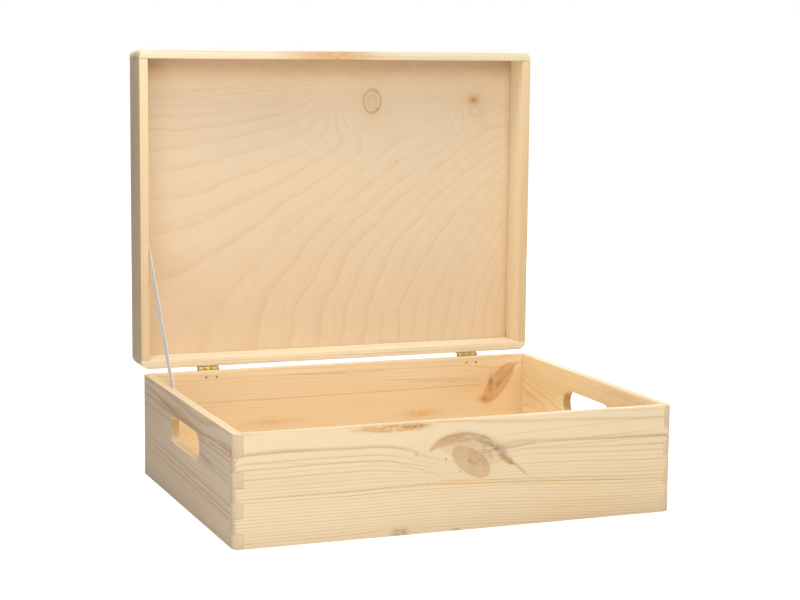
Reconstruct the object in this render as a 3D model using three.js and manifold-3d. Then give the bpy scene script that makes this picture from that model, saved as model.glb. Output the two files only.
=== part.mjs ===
// Finger-jointed pine box with a hollow hinged lid, standing open against its ribbon stay.
// Millimetres, +Z up, front at -Y, origin on the underside at the middle of the box.
import * as THREE from 'three';
import { mergeVertices } from 'three/addons/utils/BufferGeometryUtils.js';
import Module from 'manifold-3d';

const wasm = await Module();
wasm.setup();

// Overall sizes
const LENGTH = 400;              // outside, along X
const DEPTH = 300;               // outside, along Y
const BODY_HEIGHT = 95;          // underside to the rim of the box
const LID_HEIGHT = 43;           // rim to the top edge of the lid
const WALL = 8;                  // board thickness, box and lid
const CORNER_RADIUS = 7;         // upright corners, in plan
const LID_EDGE_RADIUS = 6;       // rounded upper edge of the lid
const CORNER_FLAT = 0.5;         // plan radius left where the lid's rounded edge meets a corner

// Finger joints
const FINGER_PITCH = 12.7;       // height of one finger, the top one takes what is left over
const GLUE_GAP = 0.15;           // glue line between jointed faces

// Panels
const BOTTOM_THICKNESS = 4;
const BOTTOM_RABBET = 4;         // how far the bottom lets into each board
const LID_PANEL_THICKNESS = 5;
const LID_PANEL_GROOVE = 3.5;    // how far the lid panel enters each rail
const LID_INSIDE_DEPTH = 31;     // rim of the lid to the inner face of its panel
const PANEL_GAP = 0.3;           // play of a panel in its rabbet or groove

// Hand holes in the two end boards
const HANDLE_LENGTH = 96;
const HANDLE_HEIGHT = 25;
const HANDLE_CENTRE_HEIGHT = 63;

// Hinges
const HINGE_SPACING = 270;       // centre to centre
const HINGE_LENGTH = 20;
const LEAF_WIDTH = 11;           // from the pin's centre to the free edge
const LEAF_THICKNESS = 1.2;
const KNUCKLE_RADIUS = 3;
const PIN_RADIUS = 1.5;
const PIN_CLEARANCE = 0.08;
const PIN_OVERHANG = 0.8;        // rounded pin end beyond the last knuckle
const KNUCKLE_GAP = 0.3;         // between neighbouring knuckles
const HINGE_SEAT_GAP = 0.2;      // leaf to wood
const CLOSED_SEAM = 0.3;         // rim to rim with the lid shut
const LID_OPEN_ANGLE = 90;       // degrees, where the stay comes taut

// Hinge nails
const NAIL_SPACING = 10.5;       // along the hinge
const NAIL_SETBACK = 5.9;        // from the pin's centre
const NAIL_RADIUS = 0.8;
const NAIL_HEAD_RADIUS = 1.6;
const NAIL_HEAD_HEIGHT = 0.6;
const BODY_NAIL_LENGTH = 9.7;    // under the head, just through the back board
const LID_NAIL_LENGTH = 8;
const HOLE_CLEARANCE = 0.3;      // radial, around nails and screws

// Ribbon stay
const STAY_WIDTH = 12;
const STAY_THICKNESS = 0.8;
const STAY_WALL_GAP = 0.2;
const STAY_END = 6;              // ribbon beyond each fixing
const STAY_BODY_SETBACK = 84;    // lower fixing, forward of the back of the box
const STAY_BODY_DROP = 9;        // lower fixing, under the rim
const STAY_LID_SETBACK = 126;    // upper fixing, from the hinged edge of the lid
const STAY_LID_DEPTH = 15;       // upper fixing, from the rim of the lid
const SCREW_RADIUS = 1.2;
const SCREW_HEAD_RADIUS = 3;
const SCREW_HEAD_HEIGHT = 1.4;
const SCREW_LENGTH = 6.5;        // under the head

const ARC_SEGMENTS = 8;          // facets on a quarter turn
const ROUND_SEGMENTS = 20;       // facets round a nail, pin or knuckle
const CUT_MARGIN = 1;            // how far a cutting tool runs past what it cuts

// Sizes that follow
const HINGE_AXIS_OFFSET = KNUCKLE_RADIUS + HINGE_SEAT_GAP;
const HINGE_AXIS_Y = DEPTH / 2 + HINGE_AXIS_OFFSET;
const HINGE_AXIS_Z = BODY_HEIGHT + CLOSED_SEAM / 2;
const LID_RIM_Z = BODY_HEIGHT + CLOSED_SEAM;
const INSIDE_LENGTH = LENGTH - 2 * WALL;
const INSIDE_DEPTH = DEPTH - 2 * WALL;
const STAY_X = -INSIDE_LENGTH / 2 + STAY_WALL_GAP;

// Looks
const pine = { color: 0xe3bd86, roughness: 0.62, metalness: 0 };
const palePine = { color: 0xe8c794, roughness: 0.62, metalness: 0 };
const plywood = { color: 0xe2bd8f, roughness: 0.6, metalness: 0 };
const brass = { color: 0xc9a24b, roughness: 0.35, metalness: 1 };
const steel = { color: 0x9a958c, roughness: 0.4, metalness: 1 };
const ribbon = { color: 0xc3b6b0, roughness: 0.9, metalness: 0 };

function named(name, geometry, look) {
  const material = new THREE.MeshStandardMaterial({ ...look, flatShading: true });
  const mesh = new THREE.Mesh(geometry, material);
  mesh.name = name;
  return mesh;
}

function solid(geometry) {
  const bare = geometry.clone();
  bare.deleteAttribute('normal');
  bare.deleteAttribute('uv');
  const merged = mergeVertices(bare, 1e-4);
  return new wasm.Manifold(new wasm.Mesh({
    numProp: 3,
    vertProperties: new Float32Array(merged.attributes.position.array),
    triVerts: new Uint32Array(merged.index.array),
  }));
}

function fromSolid(body) {
  const mesh = body.getMesh();
  const geometry = new THREE.BufferGeometry();
  geometry.setAttribute('position', new THREE.BufferAttribute(mesh.vertProperties, 3));
  geometry.setIndex(new THREE.BufferAttribute(mesh.triVerts, 1));
  return geometry;
}

function boxSolid(lengthX, lengthY, lowZ, highZ) {
  const geometry = new THREE.BoxGeometry(lengthX, lengthY, highZ - lowZ);
  geometry.translate(0, 0, (lowZ + highZ) / 2);
  return solid(geometry);
}

// Cylinder along Z from lowZ to highZ
function rodSolid(radius, lowZ, highZ) {
  const geometry = new THREE.CylinderGeometry(radius, radius, highZ - lowZ, ROUND_SEGMENTS);
  geometry.rotateX(Math.PI / 2);
  geometry.translate(0, 0, (lowZ + highZ) / 2);
  return geometry;
}

function roundedRectangle(length, depth, radius) {
  const x = length / 2;
  const y = depth / 2;
  const shape = new THREE.Shape();
  shape.absarc(x - radius, -y + radius, radius, -Math.PI / 2, 0, false);
  shape.absarc(x - radius, y - radius, radius, 0, Math.PI / 2, false);
  shape.absarc(-x + radius, y - radius, radius, Math.PI / 2, Math.PI, false);
  shape.absarc(-x + radius, -y + radius, radius, Math.PI, Math.PI * 1.5, false);
  return shape;
}

// Outside of the box: upright prism with rounded corners
function bodyOutside() {
  const shape = roundedRectangle(LENGTH, DEPTH, CORNER_RADIUS);
  return solid(new THREE.ExtrudeGeometry(shape, {
    depth: BODY_HEIGHT, bevelEnabled: false, curveSegments: ARC_SEGMENTS,
  }));
}

// Outside of the lid, shut: the same plan, its upper edge rounded over
function lidOutside() {
  const radius = Math.min(LID_EDGE_RADIUS, CORNER_RADIUS - CORNER_FLAT);
  const shape = roundedRectangle(LENGTH, DEPTH, CORNER_RADIUS);
  const geometry = new THREE.ExtrudeGeometry(shape, {
    depth: LID_HEIGHT + radius,
    bevelEnabled: true,
    bevelThickness: radius,
    bevelSize: radius,
    bevelOffset: -radius,
    bevelSegments: ARC_SEGMENTS,
    curveSegments: ARC_SEGMENTS,
  });
  geometry.translate(0, 0, LID_RIM_Z - 2 * radius);
  return solid(geometry);
}

// Heights where one finger ends and the next begins, counted up from the board's lower edge
function fingerLevels(height) {
  const count = Math.floor(height / FINGER_PITCH);
  const levels = [];
  for (let i = 0; i < count; i += 1) levels.push(i * FINGER_PITCH);
  levels.push(height);
  return levels;
}

// Half the board's outline up one end: [reach, height] pairs; through[i] says finger i runs out
function endProfile(length, levels, runsThrough) {
  const out = length / 2;
  const back = length / 2 - WALL - GLUE_GAP;
  const points = [];
  const last = levels.length - 2;
  for (let i = 0; i <= last; i += 1) {
    const reach = runsThrough(i) ? out : back;
    const shrink = runsThrough(i) ? GLUE_GAP / 2 : -GLUE_GAP / 2;
    const low = i === 0 ? levels[0] : levels[i] + shrink;
    const high = i === last ? levels[i + 1] : levels[i + 1] - shrink;
    points.push([reach, low], [reach, high]);
  }
  return points;
}

function fingerBoard(length, levels, runsThrough) {
  const right = endProfile(length, levels, runsThrough);
  const left = right.map(([x, z]) => [-x, z]).reverse();
  return new THREE.Shape([...right, ...left].map(([x, z]) => new THREE.Vector2(x, z)));
}

function handleHole() {
  const radius = HANDLE_HEIGHT / 2;
  const reach = HANDLE_LENGTH / 2 - radius;
  const hole = new THREE.Path();
  hole.absarc(reach, HANDLE_CENTRE_HEIGHT, radius, -Math.PI / 2, Math.PI / 2, false);
  hole.absarc(-reach, HANDLE_CENTRE_HEIGHT, radius, Math.PI / 2, Math.PI * 1.5, false);
  hole.closePath();
  return hole;
}

// Board along X with its outer face at y = face, its thickness towards the middle
function longBoard(shape, side, lowZ) {
  const geometry = new THREE.ExtrudeGeometry(shape, { depth: WALL, bevelEnabled: false });
  geometry.rotateX(Math.PI / 2);
  const inward = side < 0 ? -DEPTH / 2 + WALL : DEPTH / 2;
  geometry.translate(0, inward, lowZ);
  return solid(geometry);
}

// Board along Y with its outer face at x = side * LENGTH / 2
function endBoard(shape, side, lowZ) {
  const geometry = new THREE.ExtrudeGeometry(shape, {
    depth: WALL, bevelEnabled: false, curveSegments: ARC_SEGMENTS,
  });
  geometry.rotateX(Math.PI / 2);
  geometry.rotateZ(Math.PI / 2);
  const outward = side < 0 ? -LENGTH / 2 : LENGTH / 2 - WALL;
  geometry.translate(outward, 0, lowZ);
  return solid(geometry);
}

const odd = (i) => i % 2 === 1;
const even = (i) => i % 2 === 0;

const hingeCentres = { left: -HINGE_SPACING / 2, right: HINGE_SPACING / 2 };
const nailOffsets = { a: -NAIL_SPACING / 2, b: NAIL_SPACING / 2 };

// Pilot holes for the hinge nails, through the wall from the hinged face
function nailHoles(centreZ) {
  let holes = null;
  for (const centre of Object.values(hingeCentres)) {
    for (const offset of Object.values(nailOffsets)) {
      const hole = rodSolid(NAIL_RADIUS + HOLE_CLEARANCE, -WALL - CUT_MARGIN, CUT_MARGIN);
      hole.rotateX(-Math.PI / 2);
      hole.translate(centre + offset, DEPTH / 2, centreZ);
      holes = holes ? holes.add(solid(hole)) : solid(hole);
    }
  }
  return holes;
}

// Pilot hole for a stay screw in the left inner face
function screwHole(y, z) {
  const depth = SCREW_LENGTH - STAY_THICKNESS - STAY_WALL_GAP + HOLE_CLEARANCE;
  const hole = rodSolid(SCREW_RADIUS + HOLE_CLEARANCE, -depth, CUT_MARGIN);
  hole.rotateY(Math.PI / 2);
  hole.translate(-INSIDE_LENGTH / 2, y, z);
  return solid(hole);
}

// Fixings of the stay: on the box, and on the lid in its shut place
const stayBody = { y: DEPTH / 2 - STAY_BODY_SETBACK, z: BODY_HEIGHT - STAY_BODY_DROP };
const stayLidShut = { y: DEPTH / 2 - STAY_LID_SETBACK, z: LID_RIM_Z + STAY_LID_DEPTH };

function openedLidPoint(point) {
  const angle = THREE.MathUtils.degToRad(-LID_OPEN_ANGLE);
  const y = point.y - HINGE_AXIS_Y;
  const z = point.z - HINGE_AXIS_Z;
  return {
    y: HINGE_AXIS_Y + y * Math.cos(angle) - z * Math.sin(angle),
    z: HINGE_AXIS_Z + y * Math.sin(angle) + z * Math.cos(angle),
  };
}

function addBody(group) {
  const outside = bodyOutside();
  const rabbet = boxSolid(
    INSIDE_LENGTH + 2 * BOTTOM_RABBET, INSIDE_DEPTH + 2 * BOTTOM_RABBET,
    -CUT_MARGIN, BOTTOM_THICKNESS + PANEL_GAP,
  );
  const levels = fingerLevels(BODY_HEIGHT);
  const longShape = fingerBoard(LENGTH, levels, odd);
  const endShape = fingerBoard(DEPTH, levels, even);
  endShape.holes.push(handleHole());
  const finish = (board) => board.intersect(outside).subtract(rabbet);

  const front = finish(longBoard(longShape, -1, 0));
  const nailZ = HINGE_AXIS_Z - NAIL_SETBACK;
  const back = finish(longBoard(longShape, 1, 0)).subtract(nailHoles(nailZ));
  const left = finish(endBoard(endShape, -1, 0)).subtract(screwHole(stayBody.y, stayBody.z));
  const right = finish(endBoard(endShape, 1, 0));
  group.add(named('front_board', fromSolid(front), palePine));
  group.add(named('back_board', fromSolid(back), pine));
  group.add(named('left_board', fromSolid(left), pine));
  group.add(named('right_board', fromSolid(right), pine));

  const bottom = new THREE.BoxGeometry(
    INSIDE_LENGTH + 2 * (BOTTOM_RABBET - PANEL_GAP),
    INSIDE_DEPTH + 2 * (BOTTOM_RABBET - PANEL_GAP),
    BOTTOM_THICKNESS,
  );
  const panel = named('bottom_panel', bottom, plywood);
  panel.position.z = BOTTOM_THICKNESS / 2;
  group.add(panel);
}

// Lid pieces in their shut place
function addLid(group) {
  const outside = lidOutside();
  const grooveLow = LID_RIM_Z + LID_INSIDE_DEPTH;
  const groove = boxSolid(
    INSIDE_LENGTH + 2 * LID_PANEL_GROOVE, INSIDE_DEPTH + 2 * LID_PANEL_GROOVE,
    grooveLow, grooveLow + LID_PANEL_THICKNESS + 2 * PANEL_GAP,
  );
  const levels = fingerLevels(LID_HEIGHT);
  const longShape = fingerBoard(LENGTH, levels, even);
  const endShape = fingerBoard(DEPTH, levels, odd);
  const finish = (rail) => rail.intersect(outside).subtract(groove);

  const front = finish(longBoard(longShape, -1, LID_RIM_Z));
  const nailZ = HINGE_AXIS_Z + NAIL_SETBACK;
  const back = finish(longBoard(longShape, 1, LID_RIM_Z)).subtract(nailHoles(nailZ));
  const left = finish(endBoard(endShape, -1, LID_RIM_Z))
    .subtract(screwHole(stayLidShut.y, stayLidShut.z));
  const right = finish(endBoard(endShape, 1, LID_RIM_Z));
  group.add(named('lid_front_rail', fromSolid(front), palePine));
  group.add(named('lid_back_rail', fromSolid(back), palePine));
  group.add(named('lid_left_rail', fromSolid(left), palePine));
  group.add(named('lid_right_rail', fromSolid(right), palePine));

  const panel = named('lid_panel', new THREE.BoxGeometry(
    INSIDE_LENGTH + 2 * (LID_PANEL_GROOVE - PANEL_GAP),
    INSIDE_DEPTH + 2 * (LID_PANEL_GROOVE - PANEL_GAP),
    LID_PANEL_THICKNESS,
  ), plywood);
  panel.position.z = grooveLow + PANEL_GAP + LID_PANEL_THICKNESS / 2;
  group.add(panel);
}

// One hinge leaf about the pin at the origin, its plate towards +Z, its wood side at +Y
function leafSolid(knuckles) {
  const plateY = KNUCKLE_RADIUS - LEAF_THICKNESS;
  const plate = new THREE.BoxGeometry(HINGE_LENGTH, LEAF_THICKNESS, LEAF_WIDTH);
  plate.translate(0, plateY + LEAF_THICKNESS / 2, LEAF_WIDTH / 2);
  let leaf = solid(plate);
  const clear = rodSolid(KNUCKLE_RADIUS + KNUCKLE_GAP, -HINGE_LENGTH, HINGE_LENGTH);
  clear.rotateY(Math.PI / 2);
  leaf = leaf.subtract(solid(clear));
  for (const [low, high] of knuckles) {
    const tube = rodSolid(KNUCKLE_RADIUS, low, high);
    tube.rotateY(Math.PI / 2);
    const web = new THREE.BoxGeometry(high - low, LEAF_THICKNESS, 2 * KNUCKLE_RADIUS);
    web.translate((low + high) / 2, plateY + LEAF_THICKNESS / 2, KNUCKLE_RADIUS);
    leaf = leaf.add(solid(tube)).add(solid(web));
  }
  const bore = rodSolid(PIN_RADIUS + PIN_CLEARANCE, -HINGE_LENGTH, HINGE_LENGTH);
  bore.rotateY(Math.PI / 2);
  leaf = leaf.subtract(solid(bore));
  for (const offset of Object.values(nailOffsets)) {
    const hole = rodSolid(NAIL_RADIUS + HOLE_CLEARANCE, -CUT_MARGIN, KNUCKLE_RADIUS + CUT_MARGIN);
    hole.rotateX(-Math.PI / 2);
    hole.translate(offset, 0, NAIL_SETBACK);
    leaf = leaf.subtract(solid(hole));
  }
  return leaf;
}

// Headed nail or screw: shank from the origin along -Z, head on +Z
function fastener(radius, length, headRadius, headHeight) {
  const tip = radius * 2;
  const profile = [
    [0, -length], [radius, -length + tip], [radius, 0], [headRadius, 0],
    [headRadius * 0.85, headHeight * 0.65], [headRadius * 0.45, headHeight], [0, headHeight],
  ];
  const points = profile.map(([r, z]) => new THREE.Vector2(r, z));
  const geometry = new THREE.LatheGeometry(points, ROUND_SEGMENTS);
  geometry.rotateX(Math.PI / 2);
  return geometry;
}

function hingePin() {
  const half = HINGE_LENGTH / 2;
  const profile = [
    [0, -half - PIN_OVERHANG], [PIN_RADIUS * 0.7, -half - PIN_OVERHANG],
    [PIN_RADIUS, -half - PIN_OVERHANG / 2], [PIN_RADIUS, half + PIN_OVERHANG / 2],
    [PIN_RADIUS * 0.7, half + PIN_OVERHANG], [0, half + PIN_OVERHANG],
  ];
  const points = profile.map(([r, z]) => new THREE.Vector2(r, z));
  const geometry = new THREE.LatheGeometry(points, ROUND_SEGMENTS);
  geometry.rotateZ(-Math.PI / 2);
  return geometry;
}

const knuckleEnd = HINGE_LENGTH / 6 + KNUCKLE_GAP / 2;
const outerKnuckles = [[-HINGE_LENGTH / 2, -knuckleEnd], [knuckleEnd, HINGE_LENGTH / 2]];
const middleKnuckle = [[-knuckleEnd + KNUCKLE_GAP, knuckleEnd - KNUCKLE_GAP]];

// The leaf's wood side faces the wall behind it, so both leaves turn half round about Z
function addHinge(bodyGroup, lidGroup, side) {
  const x = hingeCentres[side];
  const bodyLeaf = named(`${side}_hinge_body_leaf`, fromSolid(leafSolid(outerKnuckles)), brass);
  bodyLeaf.position.set(x, HINGE_AXIS_Y, HINGE_AXIS_Z);
  bodyLeaf.rotation.x = Math.PI;
  bodyGroup.add(bodyLeaf);

  const lidLeaf = named(`${side}_hinge_lid_leaf`, fromSolid(leafSolid(middleKnuckle)), brass);
  lidLeaf.position.set(x, HINGE_AXIS_Y, HINGE_AXIS_Z);
  lidLeaf.rotation.z = Math.PI;
  lidGroup.add(lidLeaf);

  const pin = named(`${side}_hinge_pin`, hingePin(), brass);
  pin.position.set(x, HINGE_AXIS_Y, HINGE_AXIS_Z);
  bodyGroup.add(pin);

  const headY = HINGE_AXIS_Y - (KNUCKLE_RADIUS - LEAF_THICKNESS);
  for (const [letter, offset] of Object.entries(nailOffsets)) {
    const bodyNail = named(
      `${side}_hinge_body_nail_${letter}`,
      fastener(NAIL_RADIUS, BODY_NAIL_LENGTH, NAIL_HEAD_RADIUS, NAIL_HEAD_HEIGHT), brass,
    );
    bodyNail.position.set(x + offset, headY, HINGE_AXIS_Z - NAIL_SETBACK);
    bodyNail.rotation.x = -Math.PI / 2;
    bodyGroup.add(bodyNail);

    const lidNail = named(
      `${side}_hinge_lid_nail_${letter}`,
      fastener(NAIL_RADIUS, LID_NAIL_LENGTH, NAIL_HEAD_RADIUS, NAIL_HEAD_HEIGHT), brass,
    );
    lidNail.position.set(x + offset, headY, HINGE_AXIS_Z + NAIL_SETBACK);
    lidNail.rotation.x = -Math.PI / 2;
    lidGroup.add(lidNail);
  }
}

// Flat ribbon between the two fixings, its flat against the left inner walls
function stayGeometry(span) {
  const reach = span / 2;
  const shape = roundedRectangle(STAY_WIDTH, span + 2 * STAY_END, STAY_THICKNESS);
  for (const end of [-reach, reach]) {
    const hole = new THREE.Path();
    hole.absarc(0, end, SCREW_RADIUS + HOLE_CLEARANCE, 0, Math.PI * 2, true);
    shape.holes.push(hole);
  }
  const geometry = new THREE.ExtrudeGeometry(shape, {
    depth: STAY_THICKNESS, bevelEnabled: false, curveSegments: ARC_SEGMENTS,
  });
  geometry.rotateY(Math.PI / 2);
  return geometry;
}

function stayScrew(name, y, z) {
  const screw = named(
    name, fastener(SCREW_RADIUS, SCREW_LENGTH, SCREW_HEAD_RADIUS, SCREW_HEAD_HEIGHT), steel,
  );
  screw.position.set(STAY_X + STAY_THICKNESS, y, z);
  screw.rotation.y = Math.PI / 2;
  return screw;
}

function addStay(worldGroup, bodyGroup, lidGroup) {
  const top = openedLidPoint(stayLidShut);
  const dy = top.y - stayBody.y;
  const dz = top.z - stayBody.z;
  const stay = named('lid_stay', stayGeometry(Math.hypot(dy, dz)), ribbon);
  stay.position.set(STAY_X, (top.y + stayBody.y) / 2, (top.z + stayBody.z) / 2);
  stay.rotation.x = Math.atan2(dz, dy);
  worldGroup.add(stay);
  bodyGroup.add(stayScrew('stay_body_screw', stayBody.y, stayBody.z));
  lidGroup.add(stayScrew('stay_lid_screw', stayLidShut.y, stayLidShut.z));
}

const toyBox = new THREE.Group();
const bodyGroup = new THREE.Group();
const lidPivot = new THREE.Group();
const lidGroup = new THREE.Group();
lidPivot.position.set(0, HINGE_AXIS_Y, HINGE_AXIS_Z);
lidPivot.rotation.x = THREE.MathUtils.degToRad(-LID_OPEN_ANGLE);
lidGroup.position.set(0, -HINGE_AXIS_Y, -HINGE_AXIS_Z);
lidPivot.add(lidGroup);
toyBox.add(bodyGroup, lidPivot);

addBody(bodyGroup);
addLid(lidGroup);
addHinge(bodyGroup, lidGroup, 'left');
addHinge(bodyGroup, lidGroup, 'right');
addStay(toyBox, bodyGroup, lidGroup);

export default toyBox;
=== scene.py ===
"""A finger-jointed pine toy box with a hinged lid, set out as an add-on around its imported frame."""

import math
from dataclasses import dataclass

import bmesh
import bpy
from mathutils import Matrix, Vector


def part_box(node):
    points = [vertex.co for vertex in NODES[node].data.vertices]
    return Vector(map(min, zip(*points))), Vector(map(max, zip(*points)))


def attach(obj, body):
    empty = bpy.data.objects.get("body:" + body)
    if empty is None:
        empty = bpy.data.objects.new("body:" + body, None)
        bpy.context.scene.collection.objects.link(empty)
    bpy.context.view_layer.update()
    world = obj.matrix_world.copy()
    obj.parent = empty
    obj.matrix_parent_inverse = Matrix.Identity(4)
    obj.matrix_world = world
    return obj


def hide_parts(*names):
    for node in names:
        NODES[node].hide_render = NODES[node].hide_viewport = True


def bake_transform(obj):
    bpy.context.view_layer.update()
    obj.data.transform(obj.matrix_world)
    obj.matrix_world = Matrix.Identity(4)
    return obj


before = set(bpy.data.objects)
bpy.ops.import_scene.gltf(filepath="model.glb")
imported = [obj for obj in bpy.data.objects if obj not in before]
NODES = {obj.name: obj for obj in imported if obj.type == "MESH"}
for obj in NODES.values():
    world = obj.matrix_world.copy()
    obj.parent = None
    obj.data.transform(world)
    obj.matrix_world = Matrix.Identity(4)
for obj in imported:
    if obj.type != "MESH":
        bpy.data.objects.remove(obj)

bl_info = {
    "name": "Pine Toy Box",
    "version": (1, 0, 0),
    "blender": (4, 5, 0),
    "location": "View3D > Sidebar > Toy Box",
    "description": "Builds a finger-jointed pine toy box with a hinged lid, a ribbon stay and a plain studio",
    "category": "Object",
}

MM = 0.001
PER_METRE = 1000.0
X, Y, Z = 0, 1, 2

BOX_BODY = "box"
LID_BODY = "lid"
BODY_BOARDS = ("front_board", "back_board", "left_board", "right_board")
LID_RAILS = ("lid_front_rail", "lid_back_rail", "lid_left_rail", "lid_right_rail")
PANELS = ("bottom_panel", "lid_panel")
HINGE_PARTS = tuple(sorted(n for n in NODES if "_hinge_" in n))
STAY_SCREWS = {"stay_body_screw": BOX_BODY, "stay_lid_screw": LID_BODY}
STAY_NODE = "lid_stay"


# ------------------------ settings


def colour_setting(name, description, default):
    """A colour that the sidebar shows."""
    return bpy.props.FloatVectorProperty(
        name=name,
        description=description,
        default=default,
        subtype="COLOR",
        min=0.0,
        max=1.0,
    )


def size_setting(name, description, default):
    """A small length that the sidebar shows."""
    return bpy.props.FloatProperty(
        name=name,
        description=description,
        default=default,
        min=0.0,
        subtype="DISTANCE",
        unit="LENGTH",
    )


def power_setting(name, description, default):
    """A lamp's power that the sidebar shows."""
    return bpy.props.FloatProperty(name=name, description=description, default=default, min=0.0, unit="POWER")


def angle_setting(name, description, default):
    """An angle in degrees that the sidebar shows."""
    return bpy.props.FloatProperty(
        name=name,
        description=description,
        default=math.radians(default),
        subtype="ANGLE",
    )


class TOYBOX_PG_wood(bpy.types.PropertyGroup):
    """The colours of the bare pine and the plywood, and how their grain shows."""

    early_wood: colour_setting(
        "Early wood",
        "Colour of the pale, soft part of each growth ring",
        (0.86, 0.70, 0.465),
    )
    late_wood: colour_setting(
        "Late wood",
        "Colour of the dark, hard line that ends each growth ring",
        (0.66, 0.42, 0.205),
    )
    knot_wood: colour_setting("Knot wood", "Colour of the branch wood in a knot", (0.60, 0.375, 0.215))
    bark: colour_setting("Bark", "Colour of the bark and resin round a knot", (0.27, 0.14, 0.055))
    mellow: colour_setting("Mellow wood", "Colour of wood that has yellowed with age", (0.86, 0.62, 0.33))
    resin: colour_setting("Resin", "Colour of a resin-rich streak", (0.70, 0.37, 0.12))
    plywood: colour_setting("Plywood face", "Colour of the panels' face veneer", (0.845, 0.68, 0.48))
    plywood_figure: colour_setting(
        "Plywood figure",
        "Colour of the wavy lines in the face veneer",
        (0.70, 0.46, 0.25),
    )
    grain_depth: size_setting("Grain depth", "Height of the raised grain and fibres", 0.03 * MM)
    edge_softening: size_setting(
        "Edge softening",
        "Width that the sanding took off each sharp edge",
        0.25 * MM,
    )


class TOYBOX_PG_fittings(bpy.types.PropertyGroup):
    """The colours and sizes of the hinges, screws and ribbon."""

    brass: colour_setting("Brass", "Colour of the plated hinges", (0.54, 0.41, 0.15))
    steel: colour_setting("Steel", "Colour of the stay's screws", (0.55, 0.53, 0.50))
    ribbon: colour_setting("Ribbon", "Colour of the woven stay", (0.94, 0.86, 0.785))
    metal_softening: size_setting(
        "Metal edge softening",
        "Width of the rounding on the hinges' stamped edges",
        0.12 * MM,
    )
    recess_depth: size_setting("Recess depth", "Depth of the cross in each screw head", 0.7 * MM)


class TOYBOX_PG_studio(bpy.types.PropertyGroup):
    """The floor, the lights and the camera."""

    camera_place: bpy.props.FloatVectorProperty(
        name="Camera place",
        description="Where the camera stands",
        default=(-0.6256, -1.5867, 0.4068),
        subtype="TRANSLATION",
        unit="LENGTH",
    )
    camera_azimuth: angle_setting(
        "Azimuth",
        "Turn of the camera round the box; zero looks square at the front",
        -21.558,
    )
    camera_elevation: angle_setting("Elevation", "Angle that the camera looks down", 7.688)
    camera_roll: angle_setting("Roll", "Tilt of the camera about its own line of sight", 0.578)
    lens: bpy.props.FloatProperty(
        name="Lens",
        description="Focal length on a 36 mm wide sensor, in millimetres",
        default=85.635,
        min=1.0,
    )
    key_power: power_setting("Key light", "Power of the large soft light in front", 26.5)
    top_power: power_setting("Top light", "Power of the soft light above", 31.0)
    inner_power: power_setting(
        "Inner light",
        "Power of the small soft light above, turned to the inside of the right board",
        1.5,
    )
    back_power: power_setting("Back light", "Power of the soft light behind, at the right", 10.0)
    side_power: power_setting("Side light", "Power of the weak soft light at the front left", 3.0)
    room_light: bpy.props.FloatProperty(
        name="Room light",
        description="Strength of the light that comes from all sides",
        default=0.355,
        min=0.0,
    )
    floor_colour: colour_setting("Floor", "Colour of the plain floor", (0.70, 0.70, 0.70))


# ------------------------ shader maths


class Wire:
    """One output of a node, with the arithmetic that the finishes are written in."""

    def __init__(self, finish, socket):
        self.finish = finish
        self.socket = socket

    @property
    def is_vector(self):
        return self.socket.type in ("VECTOR", "RGBA")

    def maths(self, operation, *others):
        kind = "ShaderNodeVectorMath" if self.is_vector else "ShaderNodeMath"
        return self.finish.add(kind, {"operation": operation}, dict(enumerate((self, *others))))

    def length(self):
        value_output = 1
        return self.finish.add("ShaderNodeVectorMath", {"operation": "LENGTH"}, {0: self}, value_output)

    def __add__(self, other):
        return self.maths("ADD", other)

    __radd__ = __add__

    def __sub__(self, other):
        return self.maths("SUBTRACT", other)

    def __rsub__(self, other):
        return self.finish.add("ShaderNodeMath", {"operation": "SUBTRACT"}, {0: other, 1: self})

    def __mul__(self, other):
        if self.is_vector:
            vector_input, scale_input = 0, 3
            inputs = {vector_input: self, scale_input: other}
            return self.finish.add("ShaderNodeVectorMath", {"operation": "SCALE"}, inputs)
        return self.maths("MULTIPLY", other)

    __rmul__ = __mul__

    def __truediv__(self, other):
        return self.maths("DIVIDE", other)

    def __pow__(self, other):
        return self.maths("POWER", other)

    def __neg__(self):
        return 0.0 - self

    def __abs__(self):
        return self.maths("ABSOLUTE")

    def fraction(self):
        return self.maths("FRACT")

    def floor(self):
        return self.maths("FLOOR")

    def larger(self, other):
        return self.maths("MAXIMUM", other)

    def smaller(self, other):
        return self.maths("MINIMUM", other)

    def sine(self):
        return self.maths("SINE")

    def within(self, high):
        """This, held between 0 and high."""
        return self.larger(0.0).smaller(high)

    def falling(self):
        """e to the minus this: 1 at zero, and soon nothing."""
        return (-self).maths("EXPONENT")

    def bell(self, middle, width):
        """1 at the middle, and nothing a few widths from it."""
        return (((self - middle) / width) ** 2.0).falling()

    def rise(self, low, high):
        """0 at low and 1 at high, with a soft start and end. low may be the larger."""
        return self.finish.add(
            "ShaderNodeMapRange",
            {"interpolation_type": "SMOOTHSTEP"},
            {"Value": self, "From Min": low, "From Max": high},
        )


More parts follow.
